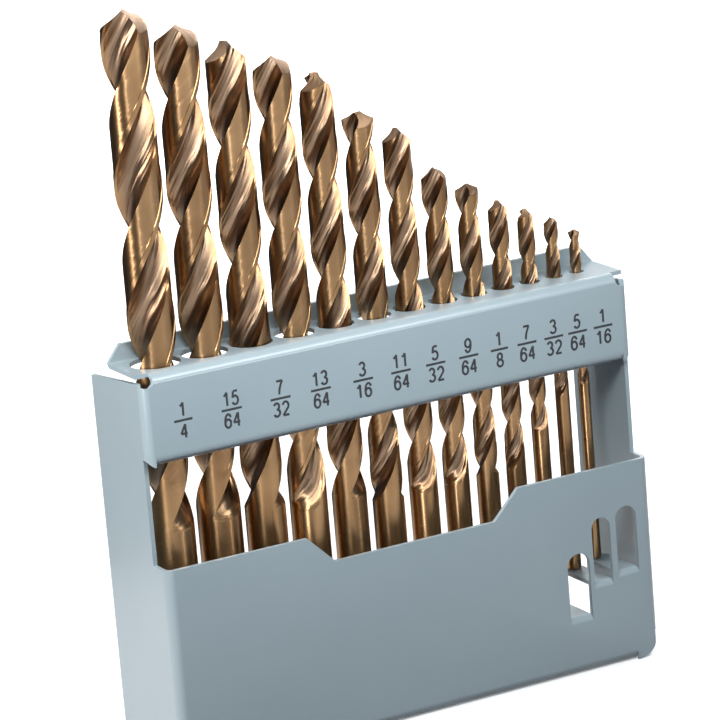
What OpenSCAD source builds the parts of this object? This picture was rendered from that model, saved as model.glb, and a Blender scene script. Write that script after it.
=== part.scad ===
// Drill index rack: a holder folded from one painted steel sheet, with thirteen twist drill
// bits standing in it point up. The shelf's holes steady the shanks, and each bit's flat end
// stands on the folded floor or, for the three shortest, on a tongue lanced out of the panel.
//
// X runs along the row, thickest bit at the low end. Y runs from the front to the rear.
// Z is up. The origin is the middle of the footprint, on the underside.

/* [Sheet] */
// Thickness of the painted sheet
sheet = 0.6; // [0.5:0.05:0.8]
// Outside radius of the upright folds between the front and the side walls
fold_r = 1.3; // [1:0.1:1.8]
// Outside radius of the bend between the shelf and the label band
bend_r = 1.5; // [1:0.1:1.8]

/* [Rack] */
// Height of the shelf's top face above the underside
rack_h = 55; // [50:0.5:62]
// Depth from the lower panel's face to the rear edges of the side walls
rack_d = 17.6; // [16:0.2:22]
// How far the lower panel stands forward of the label band
panel_step = 2.4; // [1.5:0.1:3.5]
// Distance from the left outer face to the middle of the first bit
row_start = 5; // [4.6:0.1:8]
// Distance from the middle of the last bit to the right outer face
row_end = 4.8; // [4:0.1:8]

/* [Shelf] */
// Distance from the label band's face back to the line of holes
hole_line = 5.5; // [5.2:0.1:6.5]
// Distance from the label band's face to the rear face of the upturned flange
shelf_d = 9.8; // [9.6:0.1:12]
// Height of the upturned flange above the shelf
flange_h = 2.4; // [1.5:0.1:4]
// Width cut off each end of the flange at its top
flange_cut = 1.8; // [1:0.1:3]
// Radial clearance of a bit in its hole
hole_clear = 0.25; // [0.1:0.05:0.35]

/* [Label band] */
// Height of the label band, from the shelf's top to its lower edge
band_h = 12.5; // [10:0.5:15]
// Outside radius of the rolled-in lower edge
lip_r = 1.5; // [1:0.1:1.7]
// Size of the corners cut off the band's lower ends
band_cut = 1; // [0.6:0.1:1.2]

/* [Lower panel] */
// Height of the lower panel's top edge above the underside
panel_h = 28.9; // [26:0.5:34]
// Depth of the finger notch in the top edge
notch_depth = 4; // [2:0.5:6]
// Width of the finger notch at its floor
notch_w = 24.8; // [16:0.4:28]
// Radius of the panel's lower corners, seen from the front
corner_r = 3.6; // [2.5:0.1:4.2]
// How far the floor reaches back from the panel's face
floor_d = 15.8; // [13:0.1:16]

/* [Ledges] */
// Height of a slot above its ledge
slot_h = 9.3; // [8.6:0.1:9.6]
// Outside radius of the bend where a ledge leaves the panel
ledge_r = 1; // [0.8:0.1:1.4]

/* [Drill bits] */
// Diameter of the thickest bit
thickest = 6.35; // [6:0.05:6.5]
// Drop in diameter from one bit to the next, a sixty-fourth of an inch
diameter_drop = 0.396875; // [0.36:0.005:0.41]
// Clear gap between the first two bits
gap_first = 1.1; // [0.9:0.05:1.6]
// Growth of that gap from one pair to the next
gap_growth = 0.066; // [0.04:0.002:0.12]

/* [Hidden] */
$fn = 48;

// Overrun of a cut past the face that it opens
over = 1;

// Overall lengths of the bits, thickest first, as such bits are sold
bit_lengths = [101.6, 98.4, 95.25, 92.1, 88.9, 82.55, 79.4, 73, 69.85, 66.7, 57.15, 50.8, 47.6];
// Fluted lengths of the same bits
flute_lengths = [69.9, 66.7, 63.5, 61.9, 58.7, 54, 50.8, 44.5, 41.3, 38.1, 31.75, 25.4, 22.2];
// How far each bit is turned in its hole, in degrees, read at its point
bit_turns = [80, 76, 133, 76, 162, 34, 128, 92, 52, 144, 164, 90, 30];
bit_count = len(bit_lengths);
// Heights of the ledges' top faces, for the three shortest bits
ledge_tops = [8.2, 12.6, 13.4];
// Widths of the ledges and of the slots that they leave
ledge_widths = [3.6, 3, 3.4];
// How far each ledge's middle lies to the right of its bit
ledge_shifts = [0, 0, 0.5];
first_ledge = bit_count - len(ledge_tops);

// Outside radius of the tight bend under the flange
flange_r = 0.8;
// Height of the sloped cut at each end of the flange
flange_cut_h = 2.3;
// Gap between the shelf's underside and the side walls' top edges
wall_gap = 0.6;
// How much lower the side walls are at the rear
wall_drop = 1.4;
// Radius and depth of the relief holes where shelf, band and wall meet
relief_r = 0.95;
relief_depth = 1.8;
// Gap between the floor's edges and the side walls
floor_gap = 0.3;
// Radius of the side walls' lower rear corners
rear_r = 1.5;

// A bit's flutes: turns of the helix, shape of the section, run-out and point.
// Lengths here are shares of the bit's diameter, radii are shares of its radius.
lead_share = 5.72;
runout_share = 1.3;
point_share = 0.25;
shank_cut_share = 0.08;
sink_share = 0.2;
body_share = 0.985;
web_share = 0.2;
chisel_share = 0.16;
// Half the angle that a flute takes of the section, and how squarely its floor meets its sides
flute_half = 46;
half_turn = 180;
flute_power = 4;
flute_step_shares = [-1, -0.8, -0.5, 0, 0.5, 0.8, 1];
land_steps = 3;
rings_per_turn = 16;

function bit_d(i) = thickest - diameter_drop * i;
function pitch(i) = (bit_d(i) + bit_d(i + 1)) / 2 + gap_first + gap_growth * i;
// Distance from the first bit's middle to another's
function row_x(i) = i == 0 ? 0 : row_x(i - 1) + pitch(i - 1);

rack_w = row_start + row_x(bit_count - 1) + row_end;
left = -rack_w / 2;
right = rack_w / 2;
front = -rack_d / 2;
rear = rack_d / 2;
band_y = front + panel_step;
row_y = band_y + hole_line;
flange_y = band_y + shelf_d;
band_z = rack_h - band_h;
wall_top = rack_h - sheet - wall_gap;

function bit_x(i) = left + row_start + row_x(i);
function seat_z(i) = i < first_ledge ? sheet : ledge_tops[i - first_ledge];

// Runs a section drawn in Y and Z along X, from one place to another
module along_x(from, to) {
    translate([from, 0, 0]) rotate([90, 0, 90]) linear_extrude(to - from) children();
}

// Runs an outline drawn in X and Z along Y, from one place to another
module along_y(from, to) {
    translate([0, to, 0]) rotate([90, 0, 0]) linear_extrude(to - from) children();
}

// Section of a quarter bend about its centre, with its outer side at +X +Y
module bend(r) {
    intersection() {
        difference() {
            circle(r);
            circle(r - sheet);
        }
        square(r);
    }
}

// A piece drawn at the left end, and its mirror image at the right end
module both_ends() {
    children();
    mirror([1, 0, 0]) children();
}

// Shelf from the bend at its front to the upturned flange at its rear
module shelf_section() {
    translate([band_y + bend_r, rack_h - sheet])
        square([shelf_d - bend_r - flange_r, sheet]);
    translate([flange_y - flange_r, rack_h - sheet + flange_r]) rotate(-90) bend(flange_r);
    translate([flange_y - sheet, rack_h - sheet + flange_r])
        square([sheet, flange_h + sheet - flange_r]);
}

// Shelf, bend and label band down to its rolled-in lower edge
module shelf_and_band_section() {
    shelf_section();
    translate([band_y + bend_r, rack_h - bend_r]) rotate(90) bend(bend_r);
    translate([band_y, band_z + lip_r]) square([sheet, band_h - lip_r - bend_r]);
    translate([band_y + lip_r, band_z + lip_r]) rotate(180) bend(lip_r);
}

// Sloped ends of the flange
module flange_ends() {
    both_ends() along_y(flange_y - flange_r - over, flange_y + over)
        polygon([
            [left - over, rack_h + flange_h - flange_cut_h],
            [left, rack_h + flange_h - flange_cut_h],
            [left + flange_cut, rack_h + flange_h],
            [left + flange_cut, rack_h + flange_h + over],
            [left - over, rack_h + flange_h + over]
        ]);
}

// Relief hole where the shelf, the band and a side wall meet, open towards the shelf
module relief() {
    along_y(band_y - over, band_y + bend_r)
        translate([left + relief_r, rack_h - relief_depth + relief_r]) {
            circle(relief_r);
            translate([-relief_r - over, 0]) square([2 * relief_r + over, relief_depth]);
        }
}

// Shelf and label band between the folds, with the shelf's free ends and the bits' holes
module shelf_and_band() {
    difference() {
        union() {
            along_x(left, right) shelf_section();
            along_x(left + fold_r, right - fold_r) shelf_and_band_section();
        }
        flange_ends();
        for (i = [0:bit_count - 1])
            translate([bit_x(i), row_y, rack_h - sheet - over])
                cylinder(h = sheet + 2 * over, r = bit_d(i) / 2 + hole_clear);
    }
}

// Upright channel folded from sheet: a face at the given place in Y, its two folds and walls
module channel(face_y, low, high) {
    translate([0, 0, low]) linear_extrude(high - low) {
        translate([left + fold_r, face_y]) square([rack_w - 2 * fold_r, sheet]);
        both_ends() {
            translate([left + fold_r, face_y + fold_r]) rotate(180) bend(fold_r);
            translate([left, face_y + fold_r]) square([sheet, rear - face_y - fold_r]);
        }
    }
}

// Folds and walls at the label band's height, with its lower ends cut off
module band_channel() {
    difference() {
        channel(band_y, band_z, wall_top);
        along_x(left + fold_r, right - fold_r)
            translate([band_y - over, band_z - over]) square([sheet + 2 * over, lip_r + over]);
        both_ends() along_y(band_y - over, band_y + fold_r)
            polygon([
                [left - over, band_z - over],
                [left + band_cut + over, band_z - over],
                [left + band_cut, band_z],
                [left, band_z + band_cut],
                [left - over, band_z + band_cut]
            ]);
    }
}

// Side walls, beside the window too, where they stand behind the label band's folds
module side_walls() {
    both_ends() along_x(left, left + sheet)
        translate([band_y + fold_r, 0]) square([rear - band_y - fold_r, wall_top]);
}

// What the side walls' outline takes off: their sloping top edges and lower corners
module wall_trim() {
    along_x(left - over, right + over) {
        polygon([
            [band_y + fold_r, wall_top],
            [rear, wall_top - wall_drop],
            [rear + over, wall_top - wall_drop],
            [rear + over, wall_top + over],
            [band_y + fold_r, wall_top + over]
        ]);
        translate([front + fold_r, 0]) square_corner(corner_r);
        translate([rear, 0]) mirror([1, 0]) square_corner(rear_r);
    }
}

// What a round lower corner takes off an outline whose side and foot meet at the origin
module square_corner(r) {
    difference() {
        translate([-over, -over]) square(r + over);
        translate([r, r]) circle(r);
    }
}

// Finger notch in the panel's top edge, with sides at 45 degrees
module notch() {
    polygon([
        [-notch_w / 2, panel_h - notch_depth],
        [notch_w / 2, panel_h - notch_depth],
        [notch_w / 2 + notch_depth + over, panel_h + over],
        [-notch_w / 2 - notch_depth - over, panel_h + over]
    ]);
}

// Round-topped slot that a ledge was lanced out of
module slot(k) {
    w = ledge_widths[k];
    translate([ledge_x(k), ledge_tops[k] - ledge_r]) {
        translate([-w / 2, 0]) square([w, slot_h + ledge_r - w / 2]);
        translate([0, slot_h + ledge_r - w / 2]) circle(w / 2);
    }
}

function ledge_x(k) = bit_x(first_ledge + k) + ledge_shifts[k];

// Lower panel with its folds and walls, open at the foot for the floor's bend
module panel_channel() {
    difference() {
        channel(front, 0, panel_h);
        both_ends() along_y(front - over, front + fold_r)
            translate([left, 0]) square_corner(corner_r);
        along_x(left + corner_r, right - corner_r)
            translate([front - over, -over]) square([sheet + 2 * over, bend_r + over]);
        along_y(front - over, front + sheet + over) {
            notch();
            for (k = [0:len(ledge_tops) - 1]) slot(k);
        }
    }
}

// Floor folded back from the panel, wider behind the round corners
module rack_floor() {
    along_x(left + corner_r, right - corner_r) {
        translate([front, bend_r]) square(sheet);
        translate([front + bend_r, bend_r]) rotate(180) bend(bend_r);
        translate([front + bend_r, 0]) square([floor_d - bend_r, sheet]);
    }
    translate([left + sheet + floor_gap, front + fold_r + corner_r, 0])
        cube([rack_w - 2 * (sheet + floor_gap), floor_d - fold_r - corner_r, sheet]);
}

// Tongue folded back through a quarter bend, with a round end
module ledge(k) {
    w = ledge_widths[k];
    x = ledge_x(k);
    top = ledge_tops[k];
    along_x(x - w / 2, x + w / 2) {
        translate([front, top - ledge_r - sheet]) square(sheet);
        translate([front + ledge_r, top - ledge_r]) rotate(90) bend(ledge_r);
        translate([front + ledge_r, top - sheet]) square([slot_h - ledge_r - w / 2, sheet]);
    }
    translate([x, front + slot_h - w / 2, top - sheet]) cylinder(h = sheet, r = w / 2);
}

module rack() {
    color("lightsteelblue") {
        difference() {
            union() {
                shelf_and_band();
                difference() {
                    union() {
                        band_channel();
                        side_walls();
                    }
                    wall_trim();
                }
            }
            both_ends() relief();
        }
        difference() {
            union() {
                panel_channel();
                side_walls();
            }
            wall_trim();
        }
        rack_floor();
        for (k = [0:len(ledge_tops) - 1]) ledge(k);
    }
}

// Angles round a bit's section, from the middle of one flute, and how deep each lies in it
flute_angles = [for (s = flute_step_shares) s * flute_half];
land_span = half_turn - 2 * flute_half;
land_angles = [for (k = [1:land_steps]) flute_half + k * land_span / (land_steps + 1)];
half_angles = concat(flute_angles, land_angles);
half_depths = concat([for (s = flute_step_shares) 1 - pow(abs(s), flute_power)],
                     [for (k = [1:land_steps]) 0]);
angles = concat(half_angles, [for (a = half_angles) a + half_turn]);
depths = concat(half_depths, half_depths);

// Heights of the rings of points: under the shank's end, up the flutes, and at the point
function ring_heights(d, len, fluted) =
    let (start = len - fluted, shoulder = len - point_share * d)
    let (count = ceil(rings_per_turn * (shoulder - start) / (lead_share * d)))
    concat([start - sink_share * d],
           [for (k = [0:count]) start + (shoulder - start) * k / count],
           [len]);

// Share of the full flute depth at a height above the flutes' start
function runout(rise, d) = rise >= runout_share * d ? 1
    : rise <= 0 ? 0 : 1 - pow(1 - rise / (runout_share * d), 2);

// One ring of the fluted part, turned along the right-hand helix
function ring(z, d, len, fluted, turn) =
    let (deep = runout(z - len + fluted, d))
    let (r = d / 2 * (z == len ? chisel_share : body_share))
    [for (k = [0:len(angles) - 1])
        let (a = angles[k] + turn + 360 * (z - len) / (lead_share * d))
        let (share = 1 - (1 - web_share) * depths[k] * deep)
        [r * share * cos(a), r * share * sin(a), z]];

// Fluted part of a bit, as one closed skin of rings
module flutes(d, len, fluted, turn) {
    heights = ring_heights(d, len, fluted);
    n = len(angles);
    rings = len(heights);
    points = [for (z = heights) each ring(z, d, len, fluted, turn)];
    sides = [for (j = [0:rings - 2], k = [0:n - 1])
        let (a = j * n + k, b = j * n + (k + 1) % n)
        each [[a, a + n, b + n], [a, b + n, b]]];
    low_end = [[for (k = [0:n - 1]) k]];
    high_end = [[for (k = [n - 1:-1:0]) (rings - 1) * n + k]];
    polyhedron(points, concat(sides, low_end, high_end));
}

// Drill bit: a round shank with a bevelled end, then two flutes and the point
module drill_bit(i) {
    d = bit_d(i);
    bevel = shank_cut_share * d;
    shank = bit_lengths[i] - flute_lengths[i];
    color("darkgoldenrod") translate([bit_x(i), row_y, seat_z(i)]) {
        rotate_extrude()
            polygon([[0, 0], [d / 2 - bevel, 0], [d / 2, bevel], [d / 2, shank], [0, shank]]);
        flutes(d, bit_lengths[i], flute_lengths[i], bit_turns[i]);
    }
}

rack();
drill_bit(0);  // bit_1_4
drill_bit(1);  // bit_15_64
drill_bit(2);  // bit_7_32
drill_bit(3);  // bit_13_64
drill_bit(4);  // bit_3_16
drill_bit(5);  // bit_11_64
drill_bit(6);  // bit_5_32
drill_bit(7);  // bit_9_64
drill_bit(8);  // bit_1_8
drill_bit(9);  // bit_7_64
drill_bit(10);  // bit_3_32
drill_bit(11);  // bit_5_64
drill_bit(12);  // bit_1_16
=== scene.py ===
import math

import bmesh
import bpy
from mathutils import Matrix, Vector


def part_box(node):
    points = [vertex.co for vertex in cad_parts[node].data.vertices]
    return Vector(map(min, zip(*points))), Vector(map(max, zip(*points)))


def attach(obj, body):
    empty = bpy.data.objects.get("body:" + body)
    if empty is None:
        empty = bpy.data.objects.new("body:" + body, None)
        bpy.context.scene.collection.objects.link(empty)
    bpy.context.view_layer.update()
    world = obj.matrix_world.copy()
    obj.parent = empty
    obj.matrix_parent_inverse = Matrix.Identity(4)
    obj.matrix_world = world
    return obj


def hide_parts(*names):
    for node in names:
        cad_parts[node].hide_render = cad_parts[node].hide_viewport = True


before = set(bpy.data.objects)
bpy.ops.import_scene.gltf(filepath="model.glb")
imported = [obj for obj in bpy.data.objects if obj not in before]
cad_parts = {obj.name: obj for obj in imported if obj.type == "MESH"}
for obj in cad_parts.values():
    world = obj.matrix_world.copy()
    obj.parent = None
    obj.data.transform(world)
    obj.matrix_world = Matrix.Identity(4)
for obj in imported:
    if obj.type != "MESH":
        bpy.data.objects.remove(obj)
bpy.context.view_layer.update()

# Rack: one blank of thin steel sheet, punched and folded into a shelf, label band, side walls,
# lower panel and floor, with three tongues lanced out of the panel. It is dipped in satin
# blue-grey enamel after folding, so every edge is slightly rounded.
edge_round = 0.00011
edge_angle = math.radians(28)
# Loose triangles flatter than this are one face, and edges sharper than this catch a crisp light
flat_angle = math.radians(0.5)
crisp_angle = math.radians(35)
# Thin and thick paint, its clouds and the dimples of its orange peel to a metre, and their depth
paint_tones = (0.312, 0.393, 0.438, 1), (0.337, 0.418, 0.463, 1)
cloud_scale = 45
peel_scale = 900
peel_depth = 0.0001


def enamelled_sheet():
    """Satin enamel on steel: faint clouds, where it is thin or thick, and faint orange peel."""
    paint = bpy.data.materials.new("rack_enamel")
    paint.use_nodes = True
    tree = paint.node_tree
    shader = tree.nodes["Principled BSDF"]
    shader.inputs["Roughness"].default_value = 0.36
    shader.inputs["Specular IOR Level"].default_value = 0.5
    shader.inputs["Coat Weight"].default_value = 0.25
    shader.inputs["Coat Roughness"].default_value = 0.22

    place = tree.nodes.new("ShaderNodeTexCoord")
    clouding = tree.nodes.new("ShaderNodeTexNoise")
    clouding.inputs["Scale"].default_value = cloud_scale
    clouding.inputs["Detail"].default_value = 3
    tree.links.new(place.outputs["Object"], clouding.inputs["Vector"])
    tone = tree.nodes.new("ShaderNodeValToRGB")
    for stop, position, colour in zip(tone.color_ramp.elements, (0.3, 0.7), paint_tones):
        stop.position = position
        stop.color = colour
    tree.links.new(clouding.outputs["Fac"], tone.inputs["Fac"])
    tree.links.new(tone.outputs["Color"], shader.inputs["Base Color"])

    peel = tree.nodes.new("ShaderNodeTexNoise")
    peel.inputs["Scale"].default_value = peel_scale
    peel.inputs["Detail"].default_value = 2
    tree.links.new(place.outputs["Object"], peel.inputs["Vector"])
    bump = tree.nodes.new("ShaderNodeBump")
    bump.inputs["Strength"].default_value = 0.08
    bump.inputs["Distance"].default_value = peel_depth
    tree.links.new(peel.outputs["Fac"], bump.inputs["Height"])
    tree.links.new(bump.outputs["Normal"], shader.inputs["Normal"])
    return paint


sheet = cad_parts["rack"].data.copy()
sheet.name = "folded_rack"
folding = bmesh.new()
folding.from_mesh(sheet)
bmesh.ops.remove_doubles(folding, verts=folding.verts, dist=1e-6)
bmesh.ops.dissolve_limit(
    folding, angle_limit=flat_angle, verts=folding.verts, edges=folding.edges
)
folding.to_mesh(sheet)
folding.free()
sheet.materials.clear()
sheet.materials.append(enamelled_sheet())
rack = bpy.data.objects.new("folded_rack", sheet)
bpy.context.collection.objects.link(rack)
rounding = rack.modifiers.new("rounded sheet edges", "BEVEL")
rounding.width = edge_round
rounding.segments = 2
rounding.limit_method = "ANGLE"
rounding.angle_limit = edge_angle
rounding.use_clamp_overlap = True
rounding.harden_normals = False
sheet.shade_smooth()
sheet.set_sharp_from_angle(angle=crisp_angle)
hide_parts("rack")
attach(rack, "rack")

# Drill bits: thirteen jobber bits of high-speed steel, each ground with two right-hand flutes and
# a cone of two facets, then heated until its skin turned gold-bronze. Each one stands loose in
# its hole, point up, turned as it was dropped in.
bits = {
    # node: (length of the flutes, turn at the point in degrees)
    "bit_1_4": (0.0699, 80),
    "bit_15_64": (0.0667, 76),
    "bit_7_32": (0.0635, 133),
    "bit_13_64": (0.0619, 76),
    "bit_3_16": (0.0587, 162),
    "bit_11_64": (0.054, 34),
    "bit_5_32": (0.0508, 128),
    "bit_9_64": (0.0445, 92),
    "bit_1_8": (0.0413, 52),
    "bit_7_64": (0.0381, 144),
    "bit_3_32": (0.03175, 164),
    "bit_5_64": (0.0254, 90),
    "bit_1_16": (0.0222, 30),
}
# A flute is a round groove, its middle this far from the bit's axis and this wide, in radii
groove_middle = 1.13
groove_r = 0.9
# Waves that the wheel left across the groove, in radii, and how many to a radian
wave_depth = 0.01
waves = 7
# The land stands a little inside the raised margin. Shares of the half turn that the margin
# takes, and the step up to it
land_reach = 0.965
margin_share = 0.075
margin_step = 0.006
groove_knots = 16
land_knots = 7


def groove_edge(reach):
    """Angle at the groove's own middle of the point where it comes out at a reach."""
    cosine = (groove_middle**2 + groove_r**2 - reach**2) / (2 * groove_middle * groove_r)
    return math.acos(cosine)


def half_section():
    """Share of the half turn, reach and corner of each knot, from a lip round to the next."""
    first, final = groove_edge(1), -groove_edge(land_reach)
    lip = None
    knots = []
    for k in range(groove_knots + 1):
        t = first + (final - first) * k / groove_knots
        r = groove_r + wave_depth * math.sin(waves * t)
        place = groove_middle - r * math.cos(t), r * math.sin(t)
        turn = -math.atan2(place[1], place[0])
        lip = turn if lip is None else lip
        knots.append(((turn - lip) / math.pi, math.hypot(*place), k in (0, groove_knots)))
    heel = knots[-1][0]
    for k in range(1, land_knots + 1):
        share = heel + (1 - margin_share - heel) * k / land_knots
        knots.append((share, land_reach, k == land_knots))
    return knots + [(1 - margin_share + margin_step, 1, True), (1, 1, True)]


section = half_section()
stations_a_knot = 2
half_stations = stations_a_knot * (len(section) - 1)
# Rings of stations up the bit, and how many of them make its foot and its point
rings = 170
foot_rings = 3
point_rings = 8
# Lead of the helix, run-out of the flutes and bevel of the foot, in diameters
lead_share = 5.72
runout_share = 1.3
bevel_share = 0.08
# A bit's turn is read at the middle of a flute, this far round from a lip
flute_middle = section[groove_knots][0] / 2 * math.pi
# How steeply a point facet falls, along its lip and behind it
lip_slope = 0.45
relief_slope = 0.85
# Stations nearer than this are one, as at the poles and where the last meets the first
weld_reach = 2e-7
bit_crisp_angle = math.radians(32)


class Formula:
    """A socket of a node tree that takes part in plain sums."""

    def __init__(self, tree, socket):
        self.tree = tree
        self.socket = socket

    def step(self, operation, *others):
        node = self.tree.nodes.new("ShaderNodeMath")
        node.operation = operation
        for slot, value in zip(node.inputs, (self, *others)):
            if isinstance(value, Formula):
                self.tree.links.new(value.socket, slot)
            else:
                slot.default_value = value
        return Formula(self.tree, node.outputs[0])

    def __add__(self, other):
        return self.step("ADD", other)

    def __sub__(self, other):
        return self.step("SUBTRACT", other)

    def __mul__(self, other):
        return self.step("MULTIPLY", other)

    def __truediv__(self, other):
        return self.step("DIVIDE", other)

    def clamped(self):
        return self.step("MAXIMUM", 0).step("MINIMUM", 1)


def read_curve(share, knots):
    """Read a curve through (share, value, corner) knots."""
    node = share.tree.nodes.new("ShaderNodeFloatCurve")
    node.mapping.use_clip = False
    curve = node.mapping.curves[0]
    for place, value, _ in knots[1:-1]:
        curve.points.new(place, value)
    for point, (place, value, corner) in zip(curve.points, knots):
        point.location = (place, value)
        point.handle_type = "VECTOR" if corner else "AUTO"
    node.mapping.update()
    share.tree.links.new(share.socket, node.inputs["Value"])
    return Formula(share.tree, node.outputs[0])


def vector_of(tree, x, y, z):
    node = tree.nodes.new("ShaderNodeCombineXYZ")
    for slot, value in zip(node.inputs, (x, y, z)):
        tree.links.new(value.socket, slot)
    return node.outputs[0]


def stored(tree, name, value):
    """Keep a value on the mesh for the material to read."""
    node = tree.nodes.new("GeometryNodeStoreNamedAttribute")
    node.data_type = "FLOAT"
    node.domain = "POINT"
    node.inputs["Name"].default_value = name
    tree.links.new(value.socket, node.inputs["Value"])
    return node


def twist_bit_tree():
    """A grid of stations round the bit and rings up it, wound into a fluted bit."""
    tree = bpy.data.node_groups.new("twist bit", "GeometryNodeTree")
    sizes = ("Diameter", "Length", "Flute Length", "Turn", "Foot X", "Foot Y", "Foot Z")
    for name in sizes:
        tree.interface.new_socket(name, in_out="INPUT", socket_type="NodeSocketFloat")
    tree.interface.new_socket("Material", in_out="INPUT", socket_type="NodeSocketMaterial")
    tree.interface.new_socket("Geometry", in_out="OUTPUT", socket_type="NodeSocketGeometry")
    given = tree.nodes.new("NodeGroupInput")
    result = tree.nodes.new("NodeGroupOutput")
    diameter, length, fluted, turn, foot_x, foot_y, foot_z = (
        Formula(tree, given.outputs[name]) for name in sizes
    )
    radius = diameter * 0.5

    grid = tree.nodes.new("GeometryNodeMeshGrid")
    grid.inputs["Vertices X"].default_value = 2 * half_stations + 1
    grid.inputs["Vertices Y"].default_value = rings + 1
    position = tree.nodes.new("GeometryNodeInputPosition")
    split = tree.nodes.new("ShaderNodeSeparateXYZ")
    tree.links.new(position.outputs[0], split.inputs[0])
    station = ((Formula(tree, split.outputs["X"]) + 0.5) * (2 * half_stations)).step("ROUND")
    ring = ((Formula(tree, split.outputs["Y"]) + 0.5) * rings).step("ROUND")

    # The section, with a station at each of its knots
    share = station.step("MODULO", half_stations) / half_stations
    last = len(section) - 1
    turned_share = read_curve(share, [(k / last, knot[0], True) for k, knot in enumerate(section)])
    depth = read_curve(share, [(k / last, knot[1], knot[2]) for k, knot in enumerate(section)])
    side = (station / half_stations).step("FLOOR")
    angle = (turned_share + side) * math.pi

    # The rings: the foot's pole, its bevel, the shank, the flutes and the point's facets
    top_ring = rings - point_rings
    climb = ((ring - foot_rings) / (top_ring - foot_rings)).clamped()
    shrink = ((ring * -1 + rings) / point_rings).clamped()
    foot = (ring * (1 - 2 * bevel_share)).clamped()
    bevel = diameter * bevel_share
    start = length - fluted
    facet_reach = depth * shrink * radius
    slope = angle.step("COSINE") * lip_slope - angle.step("SINE") * relief_slope
    top = length - (facet_reach * slope).step("ABSOLUTE")
    height = (
        ring.step("GREATER_THAN", foot_rings - 1.5) * bevel
        + ring.step("GREATER_THAN", foot_rings - 0.5) * (start - bevel)
        + climb * (top - start)
    )

    # Towards the shank the grinding wheel lifts out of the flutes, which end shallow and narrow,
    # and the helix stops there
    rise = ((height - start) / (diameter * runout_share)).clamped()
    lift = (rise * -1 + 1) * (rise * -1 + 1) * (1 - groove_middle + groove_r)
    deep = (depth + lift).step("MINIMUM", 1)
    reach = deep * shrink * foot * radius
    helix = (height.step("MAXIMUM", start) - length) / (diameter * lead_share) * (2 * math.pi)
    twist = helix + turn - flute_middle + angle
    wound = vector_of(
        tree,
        twist.step("COSINE") * reach + foot_x,
        twist.step("SINE") * reach + foot_y,
        height + foot_z,
    )

    hollow = stored(tree, "hollow", deep * -1 + 1)
    across = stored(tree, "across", share)
    along = stored(tree, "along", height / diameter)
    facet = stored(tree, "facet", ring.step("GREATER_THAN", top_ring + 0.5))
    wind = tree.nodes.new("GeometryNodeSetPosition")
    tree.links.new(wound, wind.inputs["Position"])
    close = tree.nodes.new("GeometryNodeMergeByDistance")
    close.inputs["Distance"].default_value = weld_reach
    real = tree.nodes.new("GeometryNodeRealizeInstances")
    skin = tree.nodes.new("GeometryNodeSetMaterial")
    tree.links.new(given.outputs["Material"], skin.inputs["Material"])
    chain = (grid, hollow, across, along, facet, wind, close, real, skin, result)
    for earlier, later in zip(chain, chain[1:]):
        tree.links.new(earlier.outputs[0], later.inputs[0])
    return tree


def grown(name, tree, values):
    """A plain mesh object made by a node tree from named values."""
    seed = bpy.data.objects.new(name + "_blank", bpy.data.meshes.new(name + "_blank"))
    bpy.context.collection.objects.link(seed)
    grower = seed.modifiers.new(name, "NODES")
    grower.node_group = tree
    for socket in tree.interface.items_tree:
        if socket.in_out == "INPUT" and socket.name in values:
            grower[socket.identifier] = values[socket.name]
    bpy.context.view_layer.update()
    shaped = seed.evaluated_get(bpy.context.evaluated_depsgraph_get())
    piece = bpy.data.objects.new(name, bpy.data.meshes.new_from_object(shaped))
    piece.data.name = name
    bpy.data.objects.remove(seed)
    bpy.context.collection.objects.link(piece)
    return piece


# Brown and gold of the heat-tinted skin, browner tones of the ground flutes darkened with painted
# shade, and the facets of the point
skin_tones = (0.29, 0.165, 0.079, 1), (0.4, 0.245, 0.124, 1)
groove_tones_and_shade = (0.16, 0.1, 0.063, 1), (0.3, 0.205, 0.137, 1)
facet_tone = (0.45, 0.29, 0.18, 1)
# Marks that the wheel left in the flutes: how far round they slant in a diameter of height, and
# how many there are to half a turn
mark_slant = 0.34
marks_across = 10
# Depths of those marks and of the rings round the bit, and the unit they count in, in metres
mark_depth = 14
ring_depth = 0.15
depth_unit = 0.00005
# Cells of noise to a metre: patches of tint, streaks (across, up) and rings (across, up)
patch_scale = 130
streak_scales = 25, 60
ring_scales = 300, 9000
# Roughness of the land, and what rings, flutes and facets add to it
land_roughness = 0.24
ring_roughness = 0.12
flute_roughness = 0.03
facet_roughness = 0.3


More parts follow.
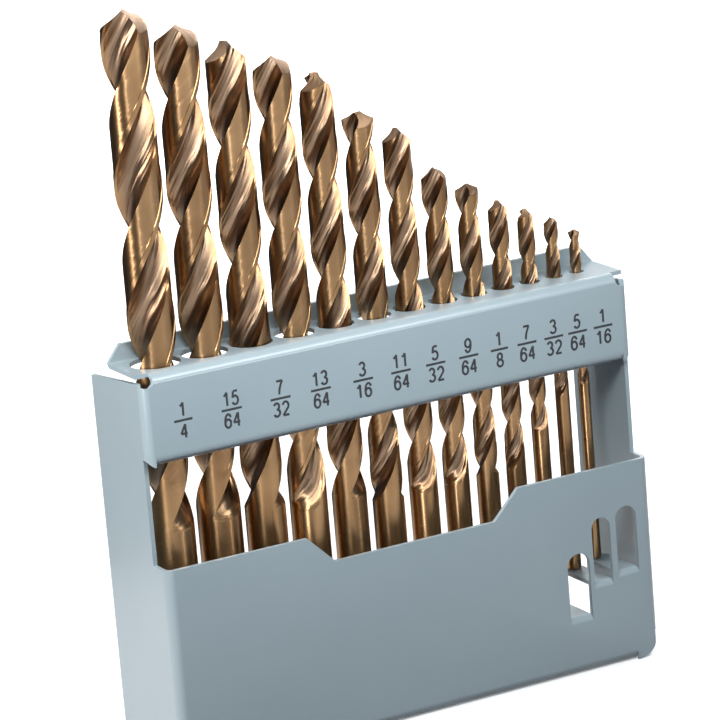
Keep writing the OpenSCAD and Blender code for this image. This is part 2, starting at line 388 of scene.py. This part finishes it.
def bronzed_steel():
    """Ground steel under a gold-bronze oxide, browner and streaked in the flutes, which are also
    darkened with painted shade.
    """
    metal = bpy.data.materials.new("bronzed_steel")
    metal.use_nodes = True
    tree = metal.node_tree
    shader = tree.nodes["Principled BSDF"]
    shader.inputs["Metallic"].default_value = 1
    shader.inputs["Anisotropic"].default_value = 0.7

    def kept(name):
        node = tree.nodes.new("ShaderNodeAttribute")
        node.attribute_name = name
        return Formula(tree, node.outputs["Fac"])

    def noise(vector, detail=2):
        node = tree.nodes.new("ShaderNodeTexNoise")
        node.inputs["Scale"].default_value = 1
        node.inputs["Detail"].default_value = detail
        tree.links.new(vector, node.inputs["Vector"])
        return Formula(tree, node.outputs["Fac"])

    def between(low, high, share):
        node = tree.nodes.new("ShaderNodeMix")
        node.data_type = "RGBA"
        for name, colour in (("A", low), ("B", high)):
            if isinstance(colour, tuple):
                node.inputs[name].default_value = colour
            else:
                tree.links.new(colour, node.inputs[name])
        tree.links.new(share.clamped().socket, node.inputs["Factor"])
        return node.outputs["Result"]

    place = tree.nodes.new("ShaderNodeTexCoord")
    split = tree.nodes.new("ShaderNodeSeparateXYZ")
    tree.links.new(place.outputs["Object"], split.inputs[0])
    x, y, z = (Formula(tree, split.outputs[name]) for name in "XYZ")
    marks = kept("across") - kept("along") * mark_slant
    hollow = kept("hollow")
    # 1 all over a flute but for a narrow strip along its edges
    ground = (hollow * 8).clamped()

    # Heat tint: slow patches on the skin, and streaks along the wheel's marks in the flutes
    patches = noise(vector_of(tree, x * patch_scale, y * patch_scale, z * patch_scale), 3)
    fine_across, fine_up = streak_scales
    streaks = noise(vector_of(tree, marks * marks_across, x * fine_across, z * fine_up), 1)
    skin = between(*skin_tones, (patches - 0.3) * 2.4)
    groove = between(*groove_tones_and_shade, (streaks - 0.36) * 3.2)
    # From their edges inwards the flutes take the darker groove colour: a browner ground finish,
    # plus painted shade of their hollow
    body = between(skin, groove, hollow * 2.2)
    facet = kept("facet")
    tree.links.new(between(body, facet_tone, facet), shader.inputs["Base Color"])

    # Fine rings that the grinding wheel left round the bit draw its highlights out lengthwise
    upward = tree.nodes.new("ShaderNodeCombineXYZ")
    upward.inputs["Z"].default_value = 1
    tree.links.new(upward.outputs[0], shader.inputs["Tangent"])
    wide_across, close_up = ring_scales
    rings_left = noise(vector_of(tree, x * wide_across, y * wide_across, z * close_up))
    rough = (rings_left * ring_roughness + ground * flute_roughness + facet * facet_roughness
             + land_roughness)
    tree.links.new(rough.socket, shader.inputs["Roughness"])
    bump = tree.nodes.new("ShaderNodeBump")
    bump.inputs["Strength"].default_value = 0.3
    bump.inputs["Distance"].default_value = depth_unit
    relief = streaks * ground * mark_depth + rings_left * ring_depth
    tree.links.new(relief.socket, bump.inputs["Height"])
    tree.links.new(bump.outputs["Normal"], shader.inputs["Normal"])
    return metal


bit_tree = twist_bit_tree()
bronze = bronzed_steel()
for node, (flutes, turn) in bits.items():
    low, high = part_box(node)
    bit = grown("twist_" + node, bit_tree, {
        "Diameter": high.x - low.x,
        "Length": high.z - low.z,
        "Flute Length": flutes,
        "Turn": math.radians(turn),
        "Foot X": (low.x + high.x) / 2,
        "Foot Y": (low.y + high.y) / 2,
        "Foot Z": low.z,
        "Material": bronze,
    })
    bit.data.shade_smooth()
    bit.data.set_sharp_from_angle(angle=bit_crisp_angle)
    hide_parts(node)
    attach(bit, node)

# Size labels: each bit's size in inches, printed in near-black ink on the label band below its
# hole. Each is a fraction of two numerals over and under a short bar, in a slim plain face whose
# strokes are all one width, a shade thicker than the film of paint around them.
sizes = ["1/4", "15/64", "7/32", "13/64", "3/16", "11/64", "5/32", "9/64", "1/8", "7/64",
         "3/32", "5/64", "1/16"]
# How far each label is printed to the right of its bit's middle
label_shifts = [0.0007, 0.0006, 0.001, 0.0005, 0.0007, 0.0006, 0.0004, 0.0003, 0.0002, 0,
                0, -0.0001, 0.0004]
# How far the band's face stands behind the front of the rack's box, and the height of the bars
panel_step = 0.0024
label_z = 0.0481
numeral_h = 0.00182
# Width of the box that a numeral's strokes are drawn in, 1 high, and how far it is narrowed
numeral_box_w = 0.6
numeral_slimness = 0.9
numeral_pitch = 0.72
numeral_gap = 0.00058
bar_widths = {1: 0.0027, 2: 0.003}
stroke_w = 0.00033
ink_flatness = 0.18
ink_colour = (0.022, 0.024, 0.03, 1)


def arc(x, z, half_w, half_h, first, final, steps=12):
    """Points of an arc of an ellipse, from one angle to another."""
    turns = [math.radians(first + (final - first) * k / steps) for k in range(steps + 1)]
    return [(x + half_w * math.cos(t), z + half_h * math.sin(t)) for t in turns]


def turned(strokes):
    """The same strokes upside down, as a nine is to a six."""
    return [[(numeral_box_w - x, 1 - z) for x, z in stroke] for stroke in strokes]


# Strokes of each numeral, in that box
numerals = {
    "1": [[(0.1, 0.74), (0.26, 0.86), (0.36, 1)], [(0.36, 1), (0.36, 0)]],
    "2": [arc(0.3, 0.71, 0.26, 0.29, 165, -35) + [(0.04, 0)], [(0.04, 0), (0.57, 0)]],
    "3": [arc(0.28, 0.76, 0.23, 0.24, 160, -90), arc(0.28, 0.27, 0.27, 0.26, 90, -160)],
    "4": [[(0.43, 0), (0.43, 1)], [(0.43, 1), (0.02, 0.3)], [(0.02, 0.3), (0.58, 0.3)]],
    "5": [[(0.53, 1), (0.15, 1)], [(0.15, 1), (0.08, 0.52)],
          arc(0.28, 0.32, 0.27, 0.32, 138, -155)],
    "6": [arc(0.3, 0.31, 0.26, 0.31, 0, 360, 20), arc(0.33, 0.42, 0.29, 0.58, 190, 35)],
    "7": [[(0.03, 1), (0.57, 1)], [(0.57, 1), (0.41, 0.72), (0.28, 0.38), (0.22, 0)]],
    "8": [arc(0.3, 0.76, 0.22, 0.24, 0, 360, 18), arc(0.3, 0.26, 0.27, 0.26, 0, 360, 20)],
}
numerals["9"] = turned(numerals["6"])


def number_strokes(number, middle_x, foot_z):
    """Strokes of a number whose numerals are centred on a place."""
    pitch = numeral_pitch * numeral_h
    across = numeral_slimness * numeral_h
    for k, numeral in enumerate(number):
        x = middle_x + (k - (len(number) - 1) / 2) * pitch - numeral_box_w / 2 * across
        for stroke in numerals[numeral]:
            yield [(x + sx * across, foot_z + sz * numeral_h) for sx, sz in stroke]


def printing_ink():
    """Matt near-black printing ink."""
    ink = bpy.data.materials.new("printing_ink")
    ink.use_nodes = True
    shader = ink.node_tree.nodes["Principled BSDF"]
    shader.inputs["Base Color"].default_value = ink_colour
    shader.inputs["Roughness"].default_value = 0.6
    return ink


strokes = []
for node, size, shift in zip(bits, sizes, label_shifts):
    low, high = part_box(node)
    above, below = size.split("/")
    middle = (low.x + high.x) / 2 + shift
    half_bar = bar_widths[max(len(above), len(below))] / 2
    strokes.append([(middle - half_bar, label_z), (middle + half_bar, label_z)])
    strokes.extend(number_strokes(above, middle, label_z + numeral_gap))
    strokes.extend(number_strokes(below, middle, label_z - numeral_gap - numeral_h))

pen = bpy.data.curves.new("pen", "CURVE")
pen.dimensions = "3D"
pen.bevel_depth = stroke_w / 2
pen.bevel_resolution = 2
pen.use_fill_caps = True
for stroke in strokes:
    line = pen.splines.new("POLY")
    line.points.add(len(stroke) - 1)
    for point, (x, z) in zip(line.points, stroke):
        point.co = (x, 0, z, 1)
drawn = bpy.data.objects.new("pen", pen)
bpy.context.collection.objects.link(drawn)
bpy.context.view_layer.update()
print_mesh = bpy.data.meshes.new_from_object(
    drawn.evaluated_get(bpy.context.evaluated_depsgraph_get())
)
bpy.data.objects.remove(drawn)
band_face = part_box("rack")[0].y + panel_step
for vertex in print_mesh.vertices:
    vertex.co.y = band_face + vertex.co.y * ink_flatness
print_mesh.name = "printed_sizes"
print_mesh.materials.clear()
print_mesh.materials.append(printing_ink())
printed = bpy.data.objects.new("printed_sizes", print_mesh)
bpy.context.collection.objects.link(printed)
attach(printed, "rack")

# Studio: the rack stands on a pale seamless sheet, in a dim grey room. A lamp at the left lights
# its side wall and a tube close above the label band its front. Two strips and a dark card show
# only in gloss, as the bits' long highlights and their dark flanks.
# Colour and glow of the paper as it is seen, and the dark colour that it has for other light
seen_colour = (0.86, 0.87, 0.88, 1)
seen_glow = 0.3
lit_colour = (0.07, 0.085, 0.105, 1)
# Half of its width and length in front, how far it goes back and up, and the round between them
sheet_half = 1.6
sheet_back = 1.1
sheet_rise = 1.6
curve_r = 0.5
curve_steps = 16
profile = [(-sheet_half, 0)]
for k in range(curve_steps + 1):
    sweep = math.radians(90 * k / curve_steps)
    profile.append((sheet_back - curve_r + curve_r * math.sin(sweep),
                    curve_r - curve_r * math.cos(sweep)))
profile.append((sheet_back, sheet_rise))
sweep_mesh = bpy.data.meshes.new("seamless_sheet")
sweep_mesh.from_pydata(
    [(x, y, z) for y, z in profile for x in (-sheet_half, sheet_half)],
    [],
    [(2 * k, 2 * k + 1, 2 * k + 3, 2 * k + 2) for k in range(len(profile) - 1)],
)
sweep_mesh.shade_smooth()


def seamless_paper():
    """Pale matt paper that lights the rack's shaded faces only a little."""
    paper = bpy.data.materials.new("seamless_paper")
    paper.use_nodes = True
    tree = paper.node_tree
    shader = tree.nodes["Principled BSDF"]
    shader.inputs["Roughness"].default_value = 0.9
    ray = tree.nodes.new("ShaderNodeLightPath")
    seen = Formula(tree, ray.outputs["Is Camera Ray"])
    for name in ("Is Glossy Ray", "Is Transmission Ray"):
        seen = seen.step("MAXIMUM", Formula(tree, ray.outputs[name]))
    tint = tree.nodes.new("ShaderNodeMix")
    tint.data_type = "RGBA"
    tint.inputs["A"].default_value = lit_colour
    tint.inputs["B"].default_value = seen_colour
    tree.links.new(seen.socket, tint.inputs["Factor"])
    tree.links.new(tint.outputs["Result"], shader.inputs["Base Color"])
    shader.inputs["Emission Color"].default_value = (1, 1, 1, 1)
    tree.links.new((seen * seen_glow).socket, shader.inputs["Emission Strength"])
    return paper


sweep_mesh.materials.append(seamless_paper())
seamless = bpy.data.objects.new("seamless_sheet", sweep_mesh)
bpy.context.collection.objects.link(seamless)

# The card is folded, and stands to the left of the rack and behind it
card_plan = [(-0.11, -0.085), (-0.11, 0.08), (0.12, 0.08)]
card_h = 0.13
card_colour = (0.02, 0.024, 0.034, 1)
card_mesh = bpy.data.meshes.new("dark_card")
card_mesh.from_pydata(
    [(x, y, z) for x, y in card_plan for z in (0, card_h)],
    [],
    [(0, 2, 3, 1), (2, 4, 5, 3)],
)
black = bpy.data.materials.new("black_card")
black.use_nodes = True
matt = black.node_tree.nodes["Principled BSDF"]
matt.inputs["Base Color"].default_value = card_colour
matt.inputs["Roughness"].default_value = 0.9
card_mesh.materials.append(black)
card = bpy.data.objects.new("dark_card", card_mesh)
bpy.context.collection.objects.link(card)
card.visible_camera = False
card.visible_shadow = False
card.visible_diffuse = False

room = bpy.data.worlds.new("dim_room")
bpy.context.scene.world = room
room.use_nodes = True
walls = room.node_tree.nodes["Background"]
walls.inputs["Color"].default_value = (0.09, 0.1, 0.115, 1)
walls.inputs["Strength"].default_value = 0.6

lamps = {
    # name: (place, aim, width, height, watts, colour, whether it lights the paint too)
    "side_key": ((-0.3, 0, 0.13), (0, 0, 0.05), 0.02, 0.14, 0.93, (1, 0.95, 0.91), True),
    "band_light": (
        (-0.012, -0.079, 0.124), (0, 0, 0.045), 0.17, 0.03, 0.215, (0.95, 0.97, 0.97), True
    ),
    "tall_strip": (
        (-0.42, -0.44, 0.26), (0, 0, 0.05), 0.03, 0.5, 1.6, (0.98, 0.98, 0.97), False
    ),
    "second_strip": ((0.3, -0.5, 0.3), (0, 0, 0.05), 0.05, 0.4, 0.4, (1, 0.98, 0.95), False),
    "top_soft": ((0.05, 0.14, 0.42), (0, 0, 0.08), 0.25, 0.2, 0.25, (0.97, 0.99, 1), True),
    "rear_soft": ((0.26, 0.34, 0.22), (0, 0, 0.05), 0.2, 0.25, 2.0, (1, 1, 1), True),
    "backdrop_wash": ((0, 0.3, 0.7), (0, 1.1, 0.5), 0.8, 0.3, 17, (1, 1, 1), True),
}
for name, (place, aim, width, height, power, colour, lights_paint) in lamps.items():
    light = bpy.data.lights.new(name, "AREA")
    light.shape = "RECTANGLE"
    light.size = width
    light.size_y = height
    light.energy = power
    light.color = colour
    lamp = bpy.data.objects.new(name, light)
    lamp.location = place
    lamp.visible_camera = False
    lamp.visible_diffuse = lights_paint
    lamp.rotation_euler = (Vector(aim) - Vector(place)).to_track_quat("-Z", "Y").to_euler()
    bpy.context.collection.objects.link(lamp)

# Camera: a long lens in front of the rack, to its left and above it, turned a few degrees about
# its own axis, as the photograph's was.
eye = Vector((-0.2649, -0.5016, 0.2007))
looks_at = Vector((-0.005, -0.0064, 0.0509))
lean = math.radians(-4.74)
focal_length = 216.7
film_width = 36
lens = bpy.data.cameras.new("photo_camera")
lens.lens = focal_length
lens.sensor_width = film_width
lens.clip_start = 0.01
camera = bpy.data.objects.new("photo_camera", lens)
view = (looks_at - eye).to_track_quat("-Z", "Y").to_matrix() @ Matrix.Rotation(lean, 3, "Z")
camera.matrix_world = Matrix.Translation(eye) @ view.to_4x4()
bpy.context.collection.objects.link(camera)
bpy.context.scene.camera = camera
bpy.context.scene.view_settings.view_transform = "Standard"
